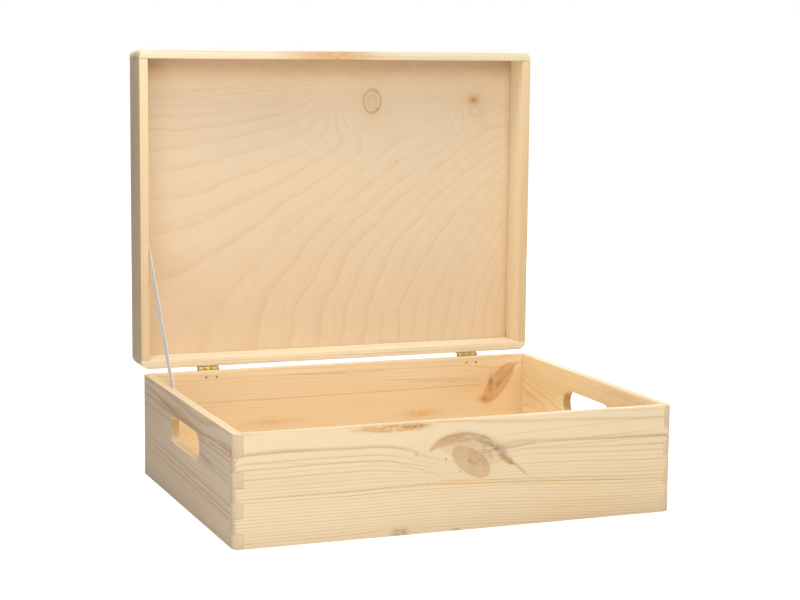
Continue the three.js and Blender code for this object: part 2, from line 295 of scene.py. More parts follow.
class Finish:
    """A material's or a world's node tree. Each node is added by the one method add."""

    def __init__(self, owner):
        owner.use_nodes = True
        self.owner = owner
        self.tree = owner.node_tree
        self.tree.nodes.clear()

    def add(self, kind, settings=None, inputs=None, output=0):
        """Adds a node, sets it up, feeds its sockets with numbers or wires, and gives back one output."""
        node = self.tree.nodes.new(kind)
        for name, value in (settings or {}).items():
            setattr(node, name, value)
        for key, value in (inputs or {}).items():
            if isinstance(value, Wire):
                self.tree.links.new(value.socket, node.inputs[key])
            else:
                node.inputs[key].default_value = value
        return Wire(self, node.outputs[output]) if len(node.outputs) else node

    def split(self, vector):
        """The three numbers in a vector."""
        node = self.add("ShaderNodeSeparateXYZ", None, {"Vector": vector}).socket.node
        return [Wire(self, output) for output in node.outputs]

    def vector(self, x, y, z):
        """Three numbers put together."""
        return self.add("ShaderNodeCombineXYZ", None, {0: x, 1: y, 2: z})

    def noise(self, place, scale=1.0, detail=2.0, roughness=0.5):
        """Smooth noise about zero, mostly between -0.5 and 0.5."""
        found = self.add(
            "ShaderNodeTexNoise",
            {"noise_dimensions": "3D"},
            {"Vector": place, "Scale": scale, "Detail": detail, "Roughness": roughness},
        )
        return found - 0.5

    def chance(self, number):
        """A number from 0 to 1 that is fixed for each whole number."""
        return self.add("ShaderNodeTexWhiteNoise", {"noise_dimensions": "1D"}, {"W": number})

    def mix(self, share, first, second):
        """A colour between two, by share."""
        share_input, first_input, second_input, colour_output = 0, 6, 7, 2
        return self.add(
            "ShaderNodeMix",
            {"data_type": "RGBA"},
            {share_input: share, first_input: opaque(first), second_input: opaque(second)},
            colour_output,
        )

    def blend(self, share, first, second):
        """A number between two, by share."""
        share_input, first_input, second_input = 0, 2, 3
        inputs = {share_input: share, first_input: first, second_input: second}
        return self.add("ShaderNodeMix", {"data_type": "FLOAT"}, inputs)

    def bump(self, height_mm, depth):
        """A normal for a height in millimetres, times depth."""
        return self.add("ShaderNodeBump", None, {"Strength": 1.0, "Distance": depth, "Height": height_mm})

    def surface(self, varying, constant):
        """Ends the tree in a Principled shader: wires for what varies, plain values for the rest."""
        shader = self.add("ShaderNodeBsdfPrincipled", None, {**constant, **varying})
        self.add("ShaderNodeOutputMaterial", None, {"Surface": shader})
        return self.owner


def opaque(colour):
    """A plain colour with its alpha, or the wire as it is."""
    return colour if isinstance(colour, Wire) else (*colour[:3], 1.0)


# ------------------------ how each board was cut


STREAK_START_WIDTH = 0.35
STREAK_GROWTH = 0.35
STREAK_CORE = 0.15
ARC_END_WIDTH = 0.2
ARC_FADE = 0.12


@dataclass(frozen=True)
class Knot:
    """A branch in a board. Lengths are in millimetres along and across the board, and lean is in degrees."""

    along: float
    across: float
    half_length: float
    half_width: float
    darkness: float
    rim: float
    lean: float = 0.0

    def distance(self, along, across):
        """How far a point is from the knot's middle, where 1 is its edge."""
        c, s = math.cos(math.radians(self.lean)), math.sin(math.radians(self.lean))
        right, up = along - self.along, across - self.across
        u, v = right * c + up * s, up * c - right * s
        return ((u / self.half_length) ** 2.0 + (v / self.half_width) ** 2.0) ** 0.5


def squared_reach(patch, along, across):
    """How far a point is from a patch's middle, squared, where 1 is its edge."""
    u = (along - patch.along) / patch.half_length
    v = (across - patch.across) / patch.half_width
    return u ** 2.0 + v ** 2.0


@dataclass(frozen=True)
class Swell:
    """A place where the rings are pushed aside, by that many rings."""

    along: float
    across: float
    half_length: float
    half_width: float
    rise: float

    def height(self, along, across):
        """How many rings a point is pushed by."""
        return self.rise * squared_reach(self, along, across).falling()


@dataclass(frozen=True)
class Streak:
    """A stroke of resin or bark from one point to another, thinner at its start."""

    start: tuple
    end: tuple
    width: float
    strength: float
    bark: bool = False

    def mask(self, along, across):
        """1 in the middle of the stroke and nothing outside it."""
        run = (self.end[0] - self.start[0], self.end[1] - self.start[1])
        length = math.hypot(*run)
        share = ((along - self.start[0]) * run[0] + (across - self.start[1]) * run[1]) / length**2
        held = share.within(1.0)
        off_along = along - self.start[0] - held * run[0]
        off_across = across - self.start[1] - held * run[1]
        distance = (off_along ** 2.0 + off_across ** 2.0) ** 0.5
        growth = held.rise(0.0, STREAK_GROWTH)
        width = self.width * (STREAK_START_WIDTH + (1.0 - STREAK_START_WIDTH) * growth)
        return 1.0 - (distance / width).rise(STREAK_CORE, 1.0)


@dataclass(frozen=True)
class Arc:
    """A band round a centre, widest in the direction that it faces and gone half a span from there."""

    centre: tuple
    radius: float
    facing: float
    half_span: float
    half_width: float
    strength: float
    bark: bool = False
    mottle: float = 0.5

    def mask(self, along, across):
        """1 in the middle of the band, which narrows to nothing at both ends."""
        facing = math.radians(self.facing)
        right, up = along - self.centre[0], across - self.centre[1]
        distance = (right ** 2.0 + up ** 2.0) ** 0.5
        turn = (right * math.cos(facing) + up * math.sin(facing)) / distance
        share = turn.rise(math.cos(math.radians(self.half_span)), 1.0)
        width = self.half_width * (ARC_END_WIDTH + (1.0 - ARC_END_WIDTH) * share)
        return distance.bell(self.radius, width) * share.rise(0.0, ARC_FADE)


@dataclass(frozen=True)
class Cloud:
    """A patch of darker wood. The larger its crispness, the sharper its edge."""

    along: float
    across: float
    half_length: float
    half_width: float
    strength: float
    bark: bool = False
    mottle: float = 0.5
    crispness: float = 1.0

    def mask(self, along, across):
        """1 in the middle of the patch, and soon nothing outside it."""
        return (squared_reach(self, along, across) ** self.crispness).falling()


@dataclass(frozen=True)
class Timber:
    """How a board lay in its tree, in millimetres. Its heart is the tree's middle, across and through it."""

    axes: tuple
    heart: tuple
    ring: float
    drift: float = 0.0
    wander: float = 4.0
    ripple: float = 0.5
    contrast: float = 1.0
    warmth: float = 0.0
    # a colour factor that is painted light and shade; a board that stands side-on gets it on its left face
    # only
    tone: tuple = (1.0, 1.0, 1.0)
    slot_shade: float = 0.0
    seed: float = 0.0
    half_length: float = 200.0
    centre: float = 0.0
    swells: tuple = ()
    knots: tuple = ()
    streaks: tuple = ()
    arcs: tuple = ()
    clouds: tuple = ()
    calms: tuple = ()


FRONT_TIMBER = Timber(
    axes=(X, Z, Y),
    heart=(86, -119),
    ring=2.5,
    drift=-9,
    contrast=1.35,
    seed=3,
    swells=(
        Swell(-12, 60, 44, 15, -2.8),
        Swell(8, 58, 26, 12, -1.2),
        Swell(-56, 2, 16, 7, 1.6),
    ),
    knots=(Knot(8, 58.5, 21, 10.5, lean=-36, darkness=0.5, rim=0.30),),
    streaks=(
        Streak((61, 43), (44, 57), 2.6, 0.35, bark=True),
        Streak((68, 71), (32, 67.5), 2.4, 0.34, bark=True),
        Streak((48, 53), (35, 61.5), 3.8, 0.55),
        Streak((48, 53.5), (37, 60.5), 3, 0.40, bark=True),
        Streak((195, 86), (40, 79.5), 0.8, 0.35),
        Streak((195, 74.5), (62, 70), 0.9, 0.5),
        Streak((195, 68), (52, 66), 0.8, 0.4),
        Streak((-201, 41), (-32, 42), 1.1, 0.65),
        Streak((195, 30.6), (-32, 42), 1.1, 0.75),
        Streak((195, 33.4), (-20, 43.8), 0.9, 0.60),
        Streak((-195, 70), (-66, 64), 0.8, 0.35),
        Streak((-8, 45), (-66, 64), 0.8, 0.35),
    ),
    arcs=(
        Arc((0, 27), 52.5, 77, 52, 4.6, 0.42, bark=True, mottle=0.8),
        Arc((0, 27), 55.6, 88, 30, 1.2, 0.45, bark=True),
        Arc((0, 27), 54, 99, 27, 3.4, 0.40),
        Arc((0, 27), 51, 60, 24, 1.6, 0.25, bark=True, mottle=1),
    ),
    clouds=(
        Cloud(-62, 91.5, 34, 3.2, 0.85, mottle=1.4, crispness=2),
        Cloud(-44, 92.5, 12, 2.2, 0.35, bark=True, mottle=1.8, crispness=2),
        Cloud(22, 64.5, 13, 8, 0.34, bark=True, mottle=1.9),
        Cloud(2, 62, 62, 24, 0.10),
        Cloud(-56, 2.5, 8, 4.5, 0.38, bark=True, mottle=1.6, crispness=1.5),
        Cloud(120, 12, 110, 26, 0.16, mottle=0.3),
        Cloud(-150, 52, 70, 8, 0.10, mottle=0.3),
        Cloud(-5, 0.5, 3.5, 1.6, 0.6, bark=True),
        Cloud(-15, 62, 0.9, 0.9, 0.7, bark=True),
        Cloud(-2, 51, 0.8, 0.8, 0.6, bark=True),
        Cloud(-42, 67.5, 1.2, 0.7, 0.5, bark=True),
    ),
    calms=(Cloud(18, 62, 70, 15, 0.80), Cloud(110, 92, 120, 13, 0.55)),
)
BACK_TIMBER = Timber(
    axes=(X, Z, Y),
    heart=(104, 170),
    ring=2.2,
    drift=2,
    contrast=1.1,
    warmth=0.45,
    seed=11,
    swells=(Swell(165, 67, 40, 17, -4),),
    knots=(Knot(165, 67, 24, 9, lean=52, darkness=0.7, rim=1),),
    streaks=(
        Streak((-60, 88), (0, 86.3), 1.5, 0.6),
        Streak((-20, 85.8), (42, 86.5), 1.6, 0.45),
        Streak((33, 77.4), (144, 72.5), 1, 0.6),
        Streak((60, 74), (146, 70), 0.9, 0.6),
        Streak((-190, 64), (144, 66.4), 1.2, 0.5),
        Streak((184, 86), (151, 51), 11, 0.42),
        Streak((182, 84), (163, 62), 2.2, 0.35, bark=True),
    ),
    clouds=(
        Cloud(157, 66, 2.8, 8, 0.85, bark=True, mottle=1.4, crispness=1.3),
        Cloud(151, 51.5, 7, 3, 0.5, bark=True, mottle=1.2),
        Cloud(168, 77, 9, 4, 0.25, bark=True, mottle=1.6),
        Cloud(82, 41, 20, 5, 0.5, mottle=1),
        Cloud(-75, 42, 30, 3.5, 0.4, mottle=1),
        Cloud(158, 68, 48, 22, 0.3),
    ),
)
LEFT_TIMBER = Timber(
    axes=(Y, Z, X),
    heart=(100, -98),
    ring=1.9,
    tone=(0.96, 0.95, 1.04),
    slot_shade=0.45,
    contrast=1.15,
    seed=23,
    half_length=150,
    streaks=(
        Streak((140, 87), (30, 80), 2.8, 0.8),
        Streak((80, 81), (-60, 75.5), 5.5, 0.22, bark=True),
        Streak((30, 80), (-57, 78.3), 2.4, 0.7),
        Streak((-50, 78.5), (-138, 83.6), 1.3, 0.7),
        Streak((-70, 75.5), (-138, 75), 1.3, 0.7),
        Streak((-20, 79), (-100, 79.5), 1, 0.4),
        Streak((142, 41), (-141, 34.5), 1.8, 0.30, bark=True),
        Streak((142, 35), (-141, 28), 2, 0.60),
        Streak((142, 29.5), (-135, 23.5), 1.8, 0.60),
        Streak((-92, 57), (-49, 59.5), 2.4, 0.28, bark=True),
        Streak((-92, 57), (-49, 59.5), 1.6, 0.5),
    ),
    arcs=(Arc((-138, 79.3), 4.2, 180, 110, 2, 0.9),),
    clouds=(
        Cloud(-10, 80, 40, 5, 0.3, mottle=0.8),
        Cloud(40, 83, 50, 3.5, 0.3, mottle=0.8),
        Cloud(-128, 79.5, 15, 3.4, 0.16, bark=True, mottle=1),
        Cloud(60, 72, 110, 24, 0.11, bark=True, mottle=0.2),
    ),
)
RIGHT_TIMBER = Timber(
    axes=(Y, Z, X),
    heart=(30, 150),
    ring=2.1,
    wander=8,
    ripple=1.8,
    warmth=0.10,
    tone=(1.16, 1.21, 1.18),
    slot_shade=1.25,
    seed=37,
    drift=22,
    half_length=150,
    clouds=(Cloud(-70, 90, 40, 3, 0.3),),
)
LID_FRONT_TIMBER = Timber(
    axes=(X, Y, Z),
    heart=(210, 378),
    ring=2.7,
    contrast=0.8,
    tone=(1.06, 1.12, 1.20),
    seed=41,
    clouds=(Cloud(-5, 156, 40, 7, 0.8), Cloud(-40, 158, 22, 5, 0.5)),
)
LID_BACK_TIMBER = Timber(
    axes=(X, Y, Z),
    heart=(205, 126),
    ring=3,
    contrast=0.8,
    tone=(1.10, 1.15, 1.24),
    seed=53,
)
LID_LEFT_TIMBER = Timber(
    axes=(Z, Y, X),
    heart=(214, -187),
    ring=3,
    wander=3,
    contrast=0.9,
    warmth=0.55,
    tone=(0.66, 0.66, 0.80),
    seed=61,
    half_length=150,
    centre=248.35,
)
LID_RIGHT_TIMBER = Timber(
    axes=(Z, Y, X),
    heart=(212, 210),
    ring=2.8,
    wander=3,
    contrast=0.7,
    tone=(1.12, 1.20, 1.30),
    seed=71,
    half_length=150,
    centre=248.35,
    clouds=(Cloud(248, 152.5, 400, 2.4, 0.40, mottle=0.2),),
)
TIMBERS = {
    "front_board": FRONT_TIMBER,
    "back_board": BACK_TIMBER,
    "left_board": LEFT_TIMBER,
    "right_board": RIGHT_TIMBER,
    "lid_front_rail": LID_FRONT_TIMBER,
    "lid_back_rail": LID_BACK_TIMBER,
    "lid_left_rail": LID_LEFT_TIMBER,
    "lid_right_rail": LID_RIGHT_TIMBER,
}


# ------------------------ pine


EDGE_RING = 2.7
END_RING = 1.5
SLOT_REACH = 60.0
LATE_WOOD_START = 0.55
DRIFT_START = -0.1
MOST_STAIN = 0.9
LINE_ON_FACE = 0.72
LINE_ON_END = 1.10
FIBRE_SIZE = (22.0, 0.42)
DASH_SIZE = (5.0, 0.35)
MOTTLE_SIZE = (4.5, 2.2)
BLOTCH_SIZE = (14.0, 3.0)
RIPPLE_SIZE = (38.0, 9.0)
TONE_SIZE = (90.0, 22.0)
SWAY_SIZE = (150.0, 45.0)
SIDE_SWAY_SHIFT = (7.3, 1.7, 4.1)
WOOD_SHEEN = {"IOR": 1.45, "Specular IOR Level": 0.35}


class Cut:
    """The finish of a cut piece in the making, with its three directions in millimetres."""

    def __init__(self, name, axes):
        self.finish = Finish(bpy.data.materials.new(name))
        self.place = self.finish.add("ShaderNodeTexCoord", None, None, "Object") * PER_METRE
        parts = self.finish.split(self.place)
        self.along, self.across, self.through = (parts[i] for i in axes)


class Board(Cut):
    """A board's finish in the making: which way each face looks, and its noises."""

    def __init__(self, name, timber):
        super().__init__(name, timber.axes)
        seed = timber.seed
        self.timber = timber
        self.facing = self.finish.split(self.finish.add("ShaderNodeTexCoord", None, None, "Normal"))
        self.ends = abs(self.facing[timber.axes[0]]).rise(0.55, 0.95)
        self.edges = abs(self.facing[timber.axes[1]]).rise(0.80, 0.97)
        self.sway = self.noise(SWAY_SIZE, (seed, 0.0, 0.0), 2.0)
        self.fibres = self.noise(FIBRE_SIZE, (0.0, 0.0, 0.0), 3.0, 0.6)
        self.dashes = self.noise(DASH_SIZE, (0.0, seed, 0.0), 1.0).rise(0.17, 0.30)
        self.blotch = self.noise(BLOTCH_SIZE, (0.0, 0.0, seed), 3.0)
        self.mottle = self.noise(MOTTLE_SIZE, (0.0, 0.0, seed), 3.0, 0.6)
        self.pores = self.finish.noise(self.place, 2.2, 2.0, 0.7)

    def noise(self, size, shift, detail, roughness=0.5):
        """Noise drawn out along the grain. Its size is a length and a width."""
        length, width = size
        place = self.finish.vector(self.along / length, self.across / width, self.through / width)
        return self.finish.noise(place + shift, 1.0, detail, roughness)


def ring_lines(finish, rings, seed):
    """Late wood at the end of each ring, in some rings stronger than in others."""
    step = rings.fraction()
    late = step.rise(LATE_WOOD_START, 0.90) * (1.0 - step.rise(0.93, 1.0))
    return late * (0.30 + 0.70 * finish.chance(rings.floor() + seed))


def line_fading(board):
    """How strongly the lines show from place to place, and least in the calm patches."""
    place = board.finish.vector(board.along / 70.0, board.across / 7.0 + board.timber.seed, 2.0)
    fade = 0.85 + 1.1 * board.finish.noise(place, 1.0, 2.0)
    for calm in board.timber.calms:
        fade = fade * (1.0 - calm.strength * calm.mask(board.along, board.across))
    return fade


def growth_lines(board):
    """The dark lines of the rings where a face, an edge or an end cuts them, and those of the ends alone."""
    finish, timber, seed = board.finish, board.timber, board.timber.seed
    side_sway = board.noise(SWAY_SIZE, (seed + SIDE_SWAY_SHIFT[0], *SIDE_SWAY_SHIFT[1:]), 1.0)
    ripple = board.noise(RIPPLE_SIZE, (0.0, seed, 0.0), 2.0)
    bent_across = board.across + timber.wander * board.sway + timber.ripple * ripple
    bent_through = board.through + timber.wander * side_sway
    reach = timber.half_length
    drop = timber.drift * (board.along - timber.centre).rise(DRIFT_START * reach, reach)
    heart_across, heart_through = timber.heart
    radius = ((bent_across - heart_across - drop) ** 2.0 + (bent_through - heart_through) ** 2.0) ** 0.5
    uneven = 0.6 * finish.noise(finish.vector(radius / 14.0, seed, 0.0), 1.0, 1.0)
    rings = radius / timber.ring + uneven
    for swell in timber.swells:
        rings = rings + swell.height(board.along, board.across)
    face_lines = ring_lines(finish, rings, seed) * line_fading(board)
    end_lines = ring_lines(finish, radius / END_RING + uneven, seed)
    edge_lines = ring_lines(finish, bent_through / EDGE_RING, seed)
    return finish.blend(board.edges, finish.blend(board.ends, face_lines, end_lines), edge_lines), end_lines


def scaled(colour, share):
    """A colour made darker or lighter."""
    return tuple(share * c for c in colour)


def painted_light_and_shade(board, colour):
    """A colour times the board's tone, which is painted light and shade. A board that stands side-on has it
    on its left face only: painted lighter on the inside of the right board and the lid's right rail, painted
    darker and bluer on the outside of the left board and the lid's left rail.
    """
    tinted = tuple(min(1.0, a * b) for a, b in zip(colour, board.timber.tone))
    if board.timber.axes[2] != X:
        return tinted
    return board.finish.mix((-board.facing[X]).rise(0.3, 0.8), colour, tinted)


def ringed(board, lines, wood):
    """Pale early wood with the lines of late wood on it, and a mellow tint that comes and goes."""
    timber = board.timber
    strength = timber.contrast * (LINE_ON_FACE + LINE_ON_END * board.ends)
    share = lines * strength + 0.12 * timber.contrast * (board.fibres + 0.2)
    colour = board.finish.mix(share.larger(0.0), painted_light_and_shade(board, wood.early_wood), painted_light_and_shade(board, wood.late_wood))
    tone = board.noise(TONE_SIZE, (0.0, timber.seed, 0.0), 2.0)
    warm = (0.8 * timber.warmth + 0.35 * (tone + 0.1)).larger(0.0)
    return board.finish.mix(warm, colour, wood.mellow)


def knotted(board, colour, knot, wood):
    """The colour with a knot in it: rings of branch wood, a dark middle and a rim of resin."""
    finish, mottle = board.finish, board.mottle
    distance = knot.distance(board.along, board.across) + 0.28 * mottle
    inside = 1.0 - distance.rise(0.90, 1.02)
    branch_rings = (distance * 5.0 + 1.2 * mottle).fraction().rise(0.25, 0.95)
    knot_share = inside * (0.64 + 0.07 * branch_rings + 0.7 * mottle)
    colour = finish.mix(knot_share.within(1.0), colour, wood.knot_wood)
    rim = knot.rim * distance.bell(0.97, 0.08) * (0.8 + 1.6 * mottle)
    colour = finish.mix(rim.within(MOST_STAIN), colour, wood.resin)
    heart = distance.bell(0.0, 0.17) * (0.9 + 2.0 * mottle)
    dark = knot.darkness * (heart + 0.08 * inside * branch_rings)
    return finish.mix(dark.within(MOST_STAIN), colour, wood.bark)


def patched(board, colour, patch, mask, wood):
    """The colour with one mottled patch of resin or bark in it."""
    speckle = 1.2 * board.blotch + 2.4 * board.mottle
    share = (patch.strength * mask * (1.0 + patch.mottle * speckle)).within(MOST_STAIN)
    return board.finish.mix(share, colour, wood.bark if patch.bark else wood.resin)


def stained(board, colour, wood):
    """The colour with the board's clouds, arcs and streaks on it. Arcs and streaks have frayed edges."""
    along, across, blotch, timber = board.along, board.across, board.blotch, board.timber
    for cloud in timber.clouds:
        colour = patched(board, colour, cloud, cloud.mask(along, across), wood)
    for arc in timber.arcs:
        colour = patched(board, colour, arc, arc.mask(along + 3.0 * blotch, across + 1.5 * blotch), wood)
    frayed_along = along + 5.0 * blotch
    frayed_across = across + blotch + 0.35 * timber.wander * board.sway
    for streak in timber.streaks:
        share = streak.strength * streak.mask(frayed_along, frayed_across) * (0.85 + 0.9 * blotch)
        colour = board.finish.mix(share.larger(0.0), colour, wood.bark if streak.bark else wood.resin)
    return colour


def opened_ends(board, colour, end_lines, wood):
    """The colour with dashes on the faces, dark pores in the end grain, and darker ends of a hand hole."""
    finish, timber, ends = board.finish, board.timber, board.ends
    colour = finish.mix(0.45 * board.dashes * (1.0 - ends), colour, wood.late_wood)
    dusk = (0.16 * ends + 0.45 * ends * board.pores).larger(0.0)
    colour = finish.mix(dusk, colour, scaled(wood.late_wood, 0.7))
    if not timber.slot_shade:
        return colour
    slot_ends = ends * abs(board.along).rise(1.3 * SLOT_REACH, SLOT_REACH)
    shade = timber.slot_shade * slot_ends * (0.55 + 0.6 * end_lines + 1.2 * board.mottle)
    return finish.mix(shade.within(MOST_STAIN), colour, scaled(wood.resin, 0.8))


def pine(name, timber, wood):
    """Bare sanded pine, with its rings, knots, streaks, end grain and fibres cut through the board."""
    board = Board(name, timber)
    lines, end_lines = growth_lines(board)
    colour = ringed(board, lines, wood)
    for knot in timber.knots:
        colour = knotted(board, colour, knot, wood)
    colour = opened_ends(board, stained(board, colour, wood), end_lines, wood)
    raised_grain = 0.5 * lines + board.fibres + 0.35 * board.dashes
    height = raised_grain + 0.8 * board.ends * board.pores + 0.6 * board.blotch
    roughness = 0.62 + 0.25 * board.fibres - 0.10 * lines + 0.08 * board.ends
    return board.finish.surface(
        {"Base Color": colour, "Roughness": roughness, "Normal": board.finish.bump(height, wood.grain_depth)},
        WOOD_SHEEN,
    )


# ------------------------ plywood


PANEL_LEFT = -192
PANEL_TOP = 388
PANEL_WIDTH = 384
PANEL_HEIGHT = 284
LID_SWELLS = (
    Swell(42, 352, 40, 30, 8),
    Swell(40, 352, 18, 16, 4),
    Swell(152, 350, 26, 24, 4.5),
)
FLOOR_SWELLS = (Swell(95, -45, 48, 26, 3), Swell(-95, 60, 36, 24, -2.5))
LID_CALM = Cloud(88, 336, 38, 28, 0.97)
LID_KNOTS = (
    Knot(42.5, 349.5, 9.5, 12, darkness=0, rim=0.62),
    Knot(42.5, 348.5, 5, 7, darkness=0, rim=0.30),
    Knot(152, 350.5, 11, 8, darkness=1, rim=0),
)
LID_SPECKS = (Cloud(48, 342, 1.1, 0.8, 0.8), Cloud(69, 289.5, 1.2, 0.7, 0.7))


def lid_figure(along, across):
    """The height whose contours are the lines in the lid panel's face."""
    share = (along - PANEL_LEFT) / PANEL_WIDTH
    down = (PANEL_TOP - across) / PANEL_HEIGHT
    level = 1.45 * down * (1.0 - 0.35 * down ** 2.0)
    height = 8.0 * level + 10.0 * share ** 2.0 * level + 6.0 * share ** 2.0
    height = height - 10.0 * (down / 0.09).falling()
    for swell in LID_SWELLS:
        height = height + swell.height(along, across)
    return height


def floor_figure(bent_along, bent_across, along, across):
    """The height whose contours are the lines in the bottom's face: wide arches, pushed aside twice."""
    height = bent_across / 17.0 + 2.4 * ((bent_along + 45.0) / 130.0) ** 2.0
    for swell in FLOOR_SWELLS:
        height = height + swell.height(along, across)
    return height


def knife_line(step, sharpness, cut_off):
    """A line that builds up over each step and ends just before the next."""
    return step ** sharpness * (1.0 - step.rise(cut_off, 1.0))


class Sheet(Cut):
    """A panel's finish in the making, with the noises in its face."""

    def __init__(self, name, axes, is_lid):
        super().__init__(name, axes)
        self.is_lid = is_lid
        self.sway = self.noise(60.0, 45.0, 2.0, 2.0)
        self.patches = self.noise(12.0, 10.0, 15.0, 3.0)
        self.tone = self.noise(90.0, 60.0, 6.0, 2.0)
        self.flecks = self.noise(2.6, 0.5, 3.0, 1.0).rise(0.17, 0.30)
        fibre_place = self.finish.vector(self.along / 9.0, self.across / 0.45, self.through / 0.45)
        self.fibres = self.finish.noise(fibre_place, 1.0, 3.0, 0.6)

    def noise(self, length, width, layer, detail, roughness=0.5):
        """Noise over the face, from its own layer."""
        place = self.finish.vector(self.along / length, self.across / width, layer)
        return self.finish.noise(place, 1.0, detail, roughness)


def figure_height(sheet):
    """The height whose contours are the lines in the face, and how little calm there is."""
    small_sway = sheet.noise(20.0, 13.0, 4.0, 3.0, 0.6)
    bent_along = sheet.along + 14.0 * sheet.sway + 8.0 * small_sway
    bent_across = sheet.across + 12.0 * sheet.noise(60.0, 45.0, 9.0, 2.0) + 7.0 * small_sway
    if not sheet.is_lid:
        return floor_figure(bent_along, bent_across, sheet.along, sheet.across), 1.0
    calm = 1.0 - LID_CALM.strength * LID_CALM.mask(sheet.along, sheet.across)
    return lid_figure(bent_along, bent_across), calm


def plywood(name, wood, axes, is_lid):
    """A rotary-cut veneer: pale, with wavy lines where the knife crossed the rings, and fine flecks."""
    sheet = Sheet(name, axes, is_lid)
    finish = sheet.finish
    height, calm = figure_height(sheet)
    line_chance = finish.chance(height.floor() + 5.0)
    fade = 0.9 + 1.4 * sheet.noise(26.0, 26.0, 12.0, 2.0)
    figure = knife_line(height.fraction(), 7.0, 0.94) * (0.35 + 0.65 * line_chance) * fade * calm
    soft_figure = knife_line(height.fraction(), 2.0, 0.90) * calm
    fine_figure = knife_line((2.6 * height + 0.8 * sheet.sway).fraction(), 4.0, 0.90) * (1.8 - fade) * calm
    figure_share = (0.48 * figure + 0.11 * soft_figure + 0.15 * fine_figure).within(1.0)
    haze = 0.20 * (sheet.tone + 0.2) + 0.12 * (sheet.fibres + 0.25) + 0.22 * sheet.patches
    colour = wood.plywood
    for share in (figure_share, haze.larger(0.0), 0.22 * sheet.flecks):
        colour = finish.mix(share, colour, wood.plywood_figure)
    if is_lid:
        colour = lid_marks(sheet, colour, wood)
    sheet_lines = (sheet.through / 0.8).fraction().rise(0.4, 0.6)
    return finish.surface(
        {
            "Base Color": colour,
            "Roughness": 0.58 + 0.2 * sheet.fibres - 0.06 * figure + 0.02 * sheet_lines,
            "Normal": finish.bump(0.4 * figure + sheet.fibres + 0.4 * sheet.flecks, wood.grain_depth),
        },
        WOOD_SHEEN,
    )


def lid_marks(sheet, colour, wood):
    """The lid panel's colour with its shaded top, its two knots and its specks."""
    finish, along, across = sheet.finish, sheet.along, sheet.across
    blotch = sheet.noise(6.0, 5.0, 8.0, 3.0)
    top_shade = ((PANEL_TOP - across) / 22.0).falling() * (0.30 + 0.5 * sheet.patches)
    colour = finish.mix(top_shade.larger(0.0), colour, wood.plywood_figure)
    for knot in LID_KNOTS:
        distance = knot.distance(along, across) + 0.26 * blotch
        colour = veneer_knot(finish, colour, distance, blotch, knot, wood)
    for speck in LID_SPECKS:
        colour = finish.mix(speck.strength * speck.mask(along, across), colour, wood.bark)
    return colour


def veneer_knot(finish, colour, distance, blotch, knot, wood):
    """A knot seen in a thin sheet: an oval line, or a small brown star."""
    rim = knot.rim * distance.bell(0.95, 0.11) * (0.9 + 1.4 * blotch)
    colour = finish.mix(0.22 * distance.bell(0.0, 1.6), colour, wood.plywood_figure)
    colour = finish.mix(rim.within(MOST_STAIN), colour, scaled(wood.resin, 0.75))
    star = knot.darkness * distance.bell(0.0, 0.62) * (0.9 + 2.0 * blotch)
    colour = finish.mix(star.within(0.95), colour, wood.resin)
    return finish.mix(0.4 * knot.darkness * distance.bell(0.0, 0.3), colour, wood.bark)


# ------------------------ metal and ribbon


LEAF_ROUGHNESS = 0.50
NAIL_ROUGHNESS = 0.65
SCREW_ROUGHNESS = 0.30
SCRATCH_DEPTH = 0.02 * MM


def plated_metal(name, colour, dull, rough, scratch_along):
    """Thin bright plating with scratches, dull spots and a worn tone."""
    plate = Cut(name, (X, Y, Z))
    finish = plate.finish
    stretch = [0.35 if i == scratch_along else 6.0 for i in range(3)]
    drawn_out = [p * s for p, s in zip((plate.along, plate.across, plate.through), stretch)]
    scratches = finish.noise(finish.vector(*drawn_out), 1.0, 3.0, 0.6)
    spots = finish.noise(plate.place, 0.9, 3.0, 0.6)
    tarnish = (spots - 0.02).rise(0.0, 0.16)
    shade = finish.mix((0.55 * tarnish + 0.25 * (scratches + 0.3)).smaller(1.0), colour, dull)
    height = 0.5 * scratches + 0.4 * spots
    return finish.surface(
        {
            "Base Color": shade,
            "Roughness": rough + 0.22 * tarnish + 0.18 * scratches,
            "Normal": finish.bump(height, SCRATCH_DEPTH),
        },
        {"Metallic": 1.0},
    )


RIBBON_UV = "weave"
WEAVE_DEPTH = 0.06 * MM
WEFT_PITCH_MM = 0.7
WARP_PITCH_MM = 0.6


def woven_ribbon(name, colour):
    """A plain-woven tape with firm edges, in the tape's own length and width."""
    finish = Finish(bpy.data.materials.new(name))
    uv = finish.add("ShaderNodeUVMap", {"uv_map": RIBBON_UV}) * PER_METRE
    across, along = finish.split(uv)[:2]
    warp = (across * (math.pi / WARP_PITCH_MM)).sine()
    weft = (along * (math.pi / WEFT_PITCH_MM)).sine()
    over = (warp * weft).rise(-0.4, 0.4)
    weave = over * abs(warp) + (1.0 - over) * abs(weft)
    fuzz = finish.noise(finish.vector(across * 3.0, along * 0.7, 1.0), 1.0, 3.0)
    tone = finish.noise(finish.vector(across / 4.0, along / 25.0, 5.0), 1.0, 2.0)
    # The weave term paints the threads' crowns lighter and the gaps between them darker: painted shade. The
    # fuzz and tone terms are the tape's own uneven colour.
    shade = 0.80 + 0.22 * weave + 0.12 * fuzz + 0.10 * tone
    return finish.surface(
        {
            "Base Color": finish.mix(shade.smaller(1.0), scaled(colour, 0.55), colour),
            "Roughness": 0.78 + 0.15 * fuzz,
            "Normal": finish.bump(weave + 0.5 * fuzz, WEAVE_DEPTH),
        },
        {"IOR": 1.5, "Specular IOR Level": 0.3, "Sheen Weight": 0.25, "Sheen Roughness": 0.5},
    )


# ------------------------ geometry


CORNER_GAP = 0.004 * MM
BEVEL_ANGLE = math.radians(38.0)
SMOOTH_ANGLE = math.radians(32.0)


